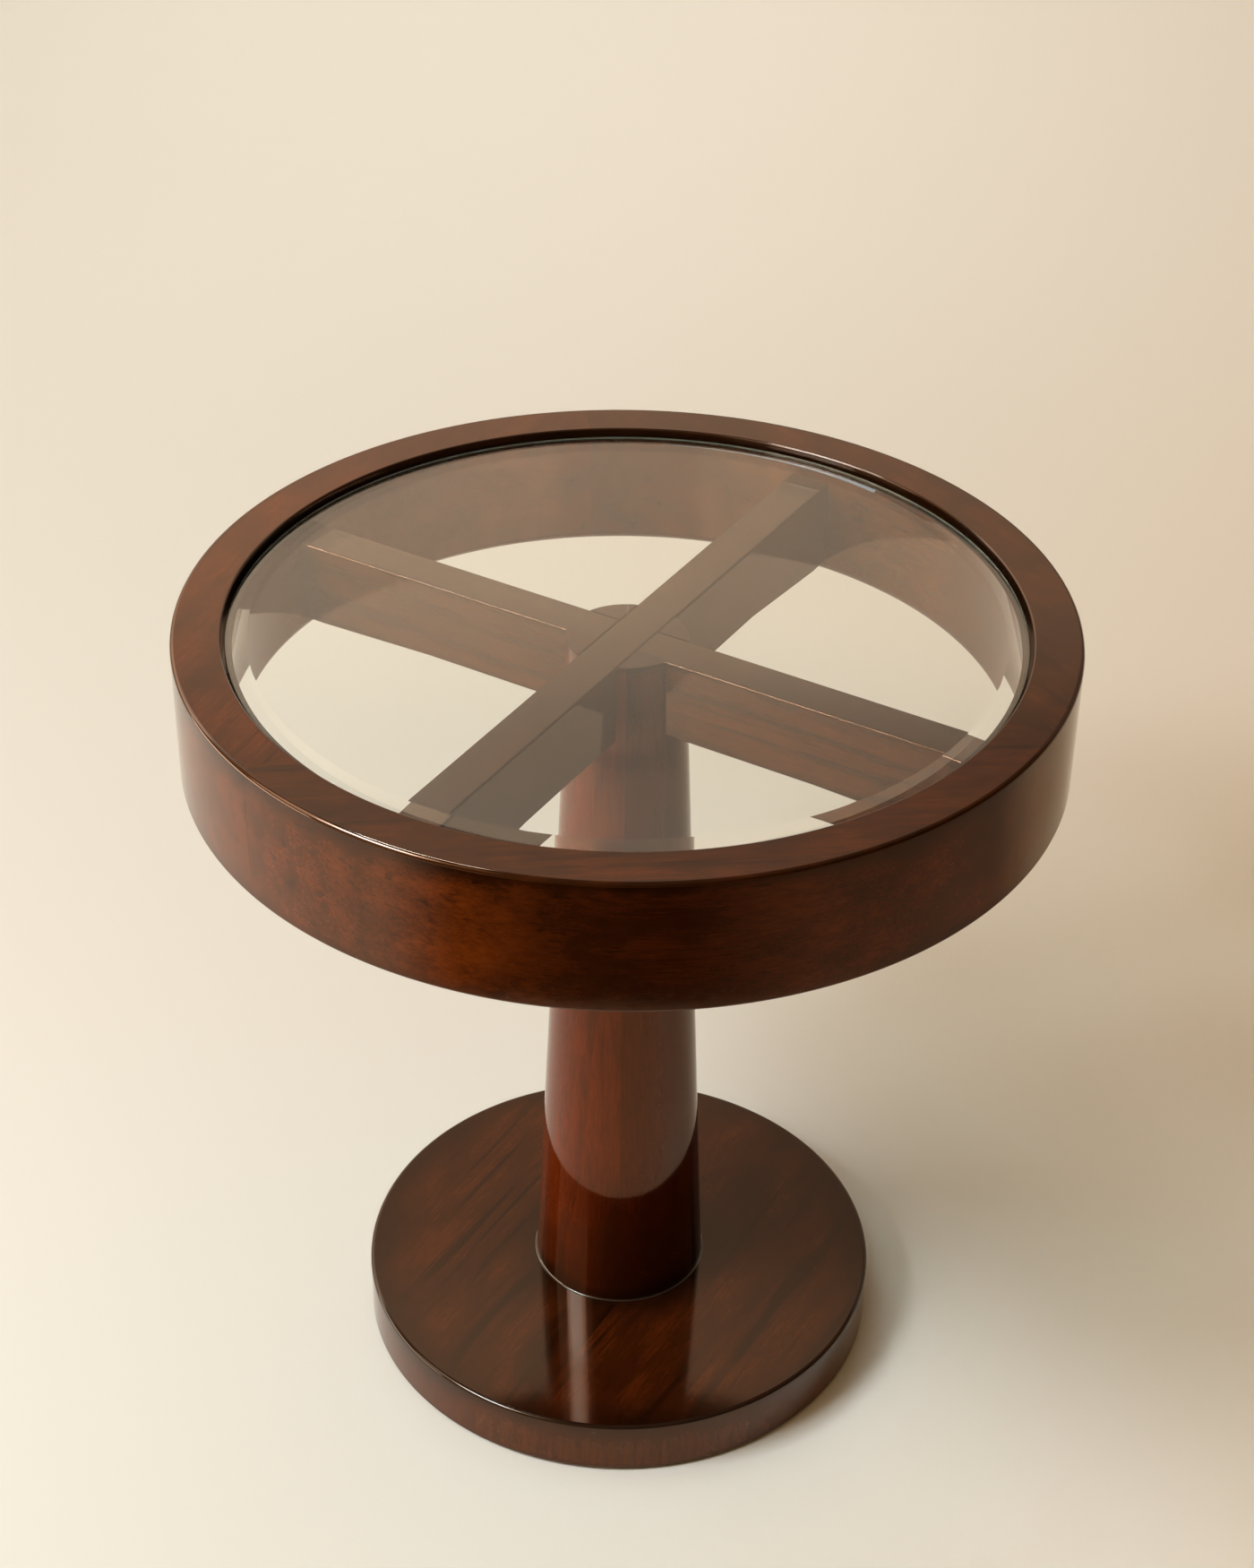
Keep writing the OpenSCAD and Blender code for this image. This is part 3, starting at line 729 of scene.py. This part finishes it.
def board(index, x0, x1):
    """A board of the base between x0 and x1. None stands for the edge of the disc."""
    rings = []
    for inset, z in EDGE:
        r = BASE_R - inset
        if x0 is None or x1 is None:
            half = math.degrees(math.acos(abs(x1 if x0 is None else x0) / r))
            middle = 180.0 if x0 is None else 0.0
            ring = arc(r, middle - half, middle + half, END_STEPS)
        else:
            ring = arc(r, math.degrees(math.acos(x1 / r)), math.degrees(math.acos(x0 / r)), BOARD_STEPS)
            ring += [(x, -y) for x, y in ring[::-1]]
        rings.append([(x, y, z) for x, y in ring])
    return make(f"base_{index + 1}", *loft(rings), wood_board[index])


lefts = [None] + [x + GLUE for x in BOARD_X]
rights = [x - GLUE for x in BOARD_X] + [None]
for i, (x0, x1) in enumerate(zip(lefts, rights)):
    b = board(i, x0, x1)
    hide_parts(f"base_board_{i + 1}")

# Nodes carried over from the frame
for node, material in (("rim_seam_dowels", dowel_wood), ("bar_end_dowels", dowel_wood),
                       ("foot_screws", steel), ("floor_pads", felt)):
    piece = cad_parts[node]
    if piece.material_slots:
        for slot in piece.material_slots:
            slot.material = material
    else:
        piece.data.materials.append(material)

# Floor and wall
# From here on places are given as the camera sees them: x to the right (side), y away from it (away).
# Painted light and shade: the paper is darker and warmer towards the right and lighter towards the back,
# and the wall is darker towards the right.
PAPER_LEFT, PAPER_RIGHT = srgb(214, 216, 210), srgb(232, 225, 211)
PAPER_BACK, PAPER_BACK_RIGHT = srgb(233, 238, 235), srgb(238, 240, 236)
WALL_LEFT, WALL_RIGHT = srgb(246, 236, 220), srgb(206, 190, 168)
PLAIN = srgb(235, 224, 206)
GLOW_LOW, GLOW_HIGH, GLOW_TOP = (1.0, 0.76, 0.54), (1.0, 0.92, 0.75), (0.88, 1.0, 0.90)
# Heights on the wall between which the screen changes: a painted reflection that glows for gloss only
SCREEN_RISE, SCREEN_WARM, SCREEN_TOP = (0.6, 1.3), (2.6, 3.6), (4.3, 5.0)
LOW_BAND, LOW_BAND_END, HIGH_BAND = (1.5, 2.35), (2.75, 3.2), (3.45, 3.95)
SCREEN_LEAST, SCREEN_SLOPE = 0.32, -0.25
# Where the camera begins to see plain paper, and where it sees nothing else
PLAIN_SIDE, PLAIN_FRONT, PLAIN_HEIGHT = (1.35, 2.5), (-0.9, -2.1), (0.35, 0.95)
TURN = Matrix.Rotation(rad(90.0 + CAMERA_AZ), 4, "Z")


def at(x, y, z=0.0):
    """A point given as the camera sees it, in the row frame."""
    return TURN @ Vector((x, y, z))


def seen_axes(n, x, y):
    """How far a point lies to the right and away, as the camera sees it."""
    c, s = math.cos(rad(90.0 + CAMERA_AZ)), math.sin(rad(90.0 + CAMERA_AZ))
    return n.add(n.mul(x, c), n.mul(y, s)), n.sub(n.mul(y, c), n.mul(x, s))


def paper():
    """Pale paper, painted a little darker and warmer towards the right as shade, and lighter towards the
    back as light.
    Gloss sees the wall as a glowing screen with two bright bands, a painted reflection, and the camera sees
    its far parts as plain pale paper."""
    n = Surface("backdrop_paper")
    point = n.point()
    x, y, z = n.xyz(point)
    side, away = seen_axes(n, x, y)
    front = n.mix(n.smooth(side, -0.4, 1.2), PAPER_LEFT, PAPER_RIGHT)
    back = n.mix(n.smooth(side, -0.4, 1.4), PAPER_BACK, PAPER_BACK_RIGHT)
    wall = n.mix(n.smooth(side, -0.6, 1.0), WALL_LEFT, WALL_RIGHT)
    colour = n.mix(n.smooth(z, 0.5, 1.1), n.mix(n.smooth(away, 0.2, 2.2), front, back), wall)
    colour = n.mix(n.smooth(n.noise(point, 0.9, 2.0, 0.5), 0.3, 0.7, 0.0, 0.03), colour, PAPER_RIGHT)
    tooth = n.new("ShaderNodeBump", None, Strength=0.05, Distance=0.0008,
                  Height=n.noise(point, 260.0, 3.0, 0.6))
    matt = n.new("ShaderNodeBsdfDiffuse", None, Color=colour, Normal=tooth.outputs[0])

    bands = n.add(n.smooth(z, *LOW_BAND, 0.42, 1.12),
                  n.add(n.smooth(z, *LOW_BAND_END, 0.0, -0.48), n.smooth(z, *HIGH_BAND, 0.0, 0.32)))
    strength = n.mul(n.most(n.scaled(side, SCREEN_SLOPE, bands), SCREEN_LEAST),
                     n.smooth(z, *SCREEN_TOP, 1.0, 0.32))
    tint = n.mix(n.smooth(z, *SCREEN_TOP), n.mix(n.smooth(z, *SCREEN_WARM), GLOW_LOW, GLOW_HIGH), GLOW_TOP)
    glow = n.new("ShaderNodeEmission", None, Color=tint, Strength=strength)
    screen = n.mul(n.ray("Glossy"), n.smooth(z, *SCREEN_RISE))
    near_part = n.blend(screen, matt.outputs[0], glow.outputs[0])

    beyond = n.most(n.smooth(n.math("ABSOLUTE", side), *PLAIN_SIDE), n.smooth(away, *PLAIN_FRONT),
                    n.smooth(z, *PLAIN_HEIGHT))
    pale = n.new("ShaderNodeEmission", None, Color=PLAIN, Strength=1.0)
    return n.done(n.blend(n.mul(n.ray("Camera"), beyond), near_part, pale.outputs[0]))


FLAG_R, FLAG_CURVE, FLAG_SOFT = 0.924, 0.033, 0.025
# Bearings in degrees from the front, growing to the right, between which the flag's cover changes
COVER_START, COVER_THIN, COVER_END = (-56.0, -34.0), (8.0, 50.0), (112.0, 90.0)


def flag_cloth():
    """A dark card on the floor that only gloss sees, with a soft border: a painted dark reflection."""
    n = Surface("flag_cloth")
    x, y = n.xyz(n.point())[:2]
    side, away = seen_axes(n, x, y)
    bearing = n.math("ARCTAN2", side, n.mul(away, -1.0))
    border = n.scaled(n.mul(bearing, bearing), -FLAG_CURVE, FLAG_R)
    cover = n.mul(n.smooth(n.sub(n.length(side, away), border), 0.0, FLAG_SOFT),
                  n.smooth(bearing, *map(rad, COVER_START)),
                  n.smooth(bearing, *map(rad, COVER_THIN), 1.0, 0.55))
    outside = n.most(n.smooth(away, -0.34, -0.44),
                     n.smooth(n.sub(side, n.scaled(away, 0.38, 0.58)), 0.0, 0.12))
    cover = n.mul(cover, n.mul(outside, n.smooth(bearing, *map(rad, COVER_END))))
    dark = n.new("ShaderNodeBsdfDiffuse", None, Color=FLAG_DARK)
    return n.done(n.blend(cover, n.new("ShaderNodeBsdfTransparent").outputs[0], dark.outputs[0]))


FLOOR_HALF, FLOOR_FRONT = 7.0, -7.0
FLOOR_BACK, SWEEP_R, WALL_TOP = 2.2, 1.5, 6.2
sweep = [(FLOOR_FRONT, 0.0), (FLOOR_BACK, 0.0)]
sweep += [(FLOOR_BACK + SWEEP_R * math.sin(rad(a)), SWEEP_R * (1 - math.cos(rad(a))))
          for a in range(6, 91, 6)]
sweep += [(FLOOR_BACK + SWEEP_R, WALL_TOP)]
mesh = bpy.data.meshes.new("backdrop")
mesh.from_pydata([tuple(at(x, y, z)) for y, z in sweep for x in (-FLOOR_HALF, FLOOR_HALF)], [],
                 [(2 * i, 2 * i + 1, 2 * i + 3, 2 * i + 2) for i in range(len(sweep) - 1)])
for face in mesh.polygons:
    face.use_smooth = True
drop = link("backdrop", mesh)
mesh.materials.append(paper())

# Lamps
TABLE_MIDDLE = (0.0, 0.0, 0.35)
CORE_SIZE, CORE_COLOUR = (0.98, 0.50), (0.86, 0.93, 1.0)


def area(name, size, power, place, aim, colour, spread=180.0):
    lamp = bpy.data.lights.new(name, "AREA")
    lamp.shape = "RECTANGLE"
    lamp.size, lamp.size_y = size
    lamp.energy = power
    lamp.color = colour
    lamp.spread = rad(spread)
    placed = link(name, lamp)
    placed.location = at(*place)
    placed.rotation_mode = "QUATERNION"
    placed.rotation_quaternion = (at(*aim) - placed.location).to_track_quat("-Z", "Y")
    return placed


area("key", size=(2.0, 1.6), power=20.0, place=(-1.72, -0.62, 2.05), aim=TABLE_MIDDLE,
     colour=(1.0, 0.87, 0.66))
core = area("key_core", size=CORE_SIZE, power=57.5, place=(-1.60, -0.76, 2.12), aim=TABLE_MIDDLE,
            colour=CORE_COLOUR)
core.visible_glossy = False
area("side", size=(1.8, 0.55), power=6.6, place=(-2.3, 0.1, 0.30), aim=(0.0, 0.0, 0.28),
     colour=(1.0, 0.86, 0.72), spread=120.0)
ceiling = area("backdrop_light", size=(2.6, 1.6), power=14.5, place=(-0.2, 2.7, 3.0), aim=(-0.2, 2.75, 0.0),
               colour=(1.0, 0.955, 0.90), spread=104.0)
ceiling.visible_glossy = ceiling.visible_transmission = False

# Lamps that only gloss sees. The first stands just in front of key_core and shines in its place.
for name, size, power, place, aim, colour in (
        ("core_shine", CORE_SIZE, 30.0, (-1.591, -0.756, 2.108), TABLE_MIDDLE, CORE_COLOUR),
        ("spark", (0.60, 0.36), 14.0, (-1.568, -0.745, 2.08), TABLE_MIDDLE, (0.25, 0.70, 1.0)),
        ("strip", (0.14, 0.50), 16.0, (-0.65, 0.71, 2.59), (0.13, 0.2, 0.6), (0.70, 0.90, 1.0)),
        ("far_window", (0.60, 0.40), 1.3, (0.38, 3.25, 1.41), (0.15, 0.2, 0.6), (0.58, 0.90, 1.0))):
    lamp = area(name, size, power, place, aim, colour)
    lamp.visible_diffuse = lamp.visible_transmission = False

FLAG_Z = 0.004
FLAG_LEFT, FLAG_RIGHT, FLAG_FRONT, FLAG_BACK = -0.85, 3.6, -3.4, 2.1
flag_mesh = bpy.data.meshes.new("flag")
flag_mesh.from_pydata([tuple(at(x, y, FLAG_Z)) for x, y in (
    (FLAG_LEFT, FLAG_FRONT), (FLAG_RIGHT, FLAG_FRONT), (FLAG_RIGHT, FLAG_BACK), (FLAG_LEFT, FLAG_BACK))],
    [], [(0, 1, 2, 3)])
flag = link("flag", flag_mesh)
flag_mesh.materials.append(flag_cloth())
flag.visible_camera = flag.visible_shadow = flag.visible_transmission = flag.visible_diffuse = False

# World, plain to the camera
WORLD_WARM = (1.0, 0.60, 0.27)
WORLD_HIGH, HIGH_LEVEL = (0.80, 0.85, 0.75), 0.17
WORLD_BRIGHT, WORLD_DIM = 0.44, 0.05
WORLD_DIM_SIDE, DIM_START, DIM_FULL = (0.75, -0.66), -0.2, 0.9
HIGH_START, HIGH_FULL = 0.66, 0.86
WORLD_FILL = 1.55

world = bpy.data.worlds.new("studio")
bpy.context.scene.world = world
world.use_nodes = True
sky = Nodes(world.node_tree)
direction = sky.new("ShaderNodeTexCoord").outputs["Generated"]
toward = sky.new("ShaderNodeVectorMath", {"operation": "DOT_PRODUCT"})
sky.put(toward.inputs[0], direction)
toward.inputs[1].default_value = at(*WORLD_DIM_SIDE)
glossy = sky.ray("Glossy")
fall = sky.smooth(toward.outputs["Value"], DIM_START, DIM_FULL, WORLD_BRIGHT, WORLD_DIM)
dull = sky.scaled(glossy, 1.0 - WORLD_FILL, WORLD_FILL)
warm = world.node_tree.nodes["Background"]
sky.put(warm.inputs["Color"], WORLD_WARM)
sky.put(warm.inputs["Strength"], sky.mul(fall, dull))
high = sky.new("ShaderNodeBackground", None, Color=WORLD_HIGH, Strength=HIGH_LEVEL)
overhead = sky.mul(sky.smooth(sky.xyz(direction)["Z"], HIGH_START, HIGH_FULL), glossy)
pale = sky.new("ShaderNodeBackground", None, Color=PLAIN)
lit = sky.blend(overhead, warm.outputs[0], high.outputs[0])
surroundings = sky.blend(sky.ray("Camera"), lit, pale.outputs[0])
sky.put(world.node_tree.nodes["World Output"].inputs["Surface"], surroundings)

# Camera
FOCAL_PX, IMAGE_H, SENSOR = 3168.2, 1750.0, 36.0
CAM_BACK, CAM_UP = 1.6108, 0.9645
PITCH, YAW, ROLL = rad(34.32), rad(0.04), rad(-0.81)
ahead = Vector((math.sin(YAW) * math.cos(PITCH), math.cos(YAW) * math.cos(PITCH), -math.sin(PITCH)))
level = Vector((math.cos(YAW), -math.sin(YAW), 0.0))
below = ahead.cross(level)
right = math.cos(ROLL) * level + math.sin(ROLL) * below
down = -math.sin(ROLL) * level + math.cos(ROLL) * below
pose = Matrix((right, -down, -ahead)).transposed().to_4x4()
pose.translation = Vector((0.0, -CAM_BACK, TABLE_H + CAM_UP))
cam_data = bpy.data.cameras.new("camera")
cam_data.sensor_width = SENSOR
cam_data.lens = FOCAL_PX / IMAGE_H * SENSOR
camera = link("camera", cam_data)
camera.matrix_world = TURN @ pose
bpy.context.scene.camera = camera
bpy.context.scene.view_settings.view_transform = "Standard"
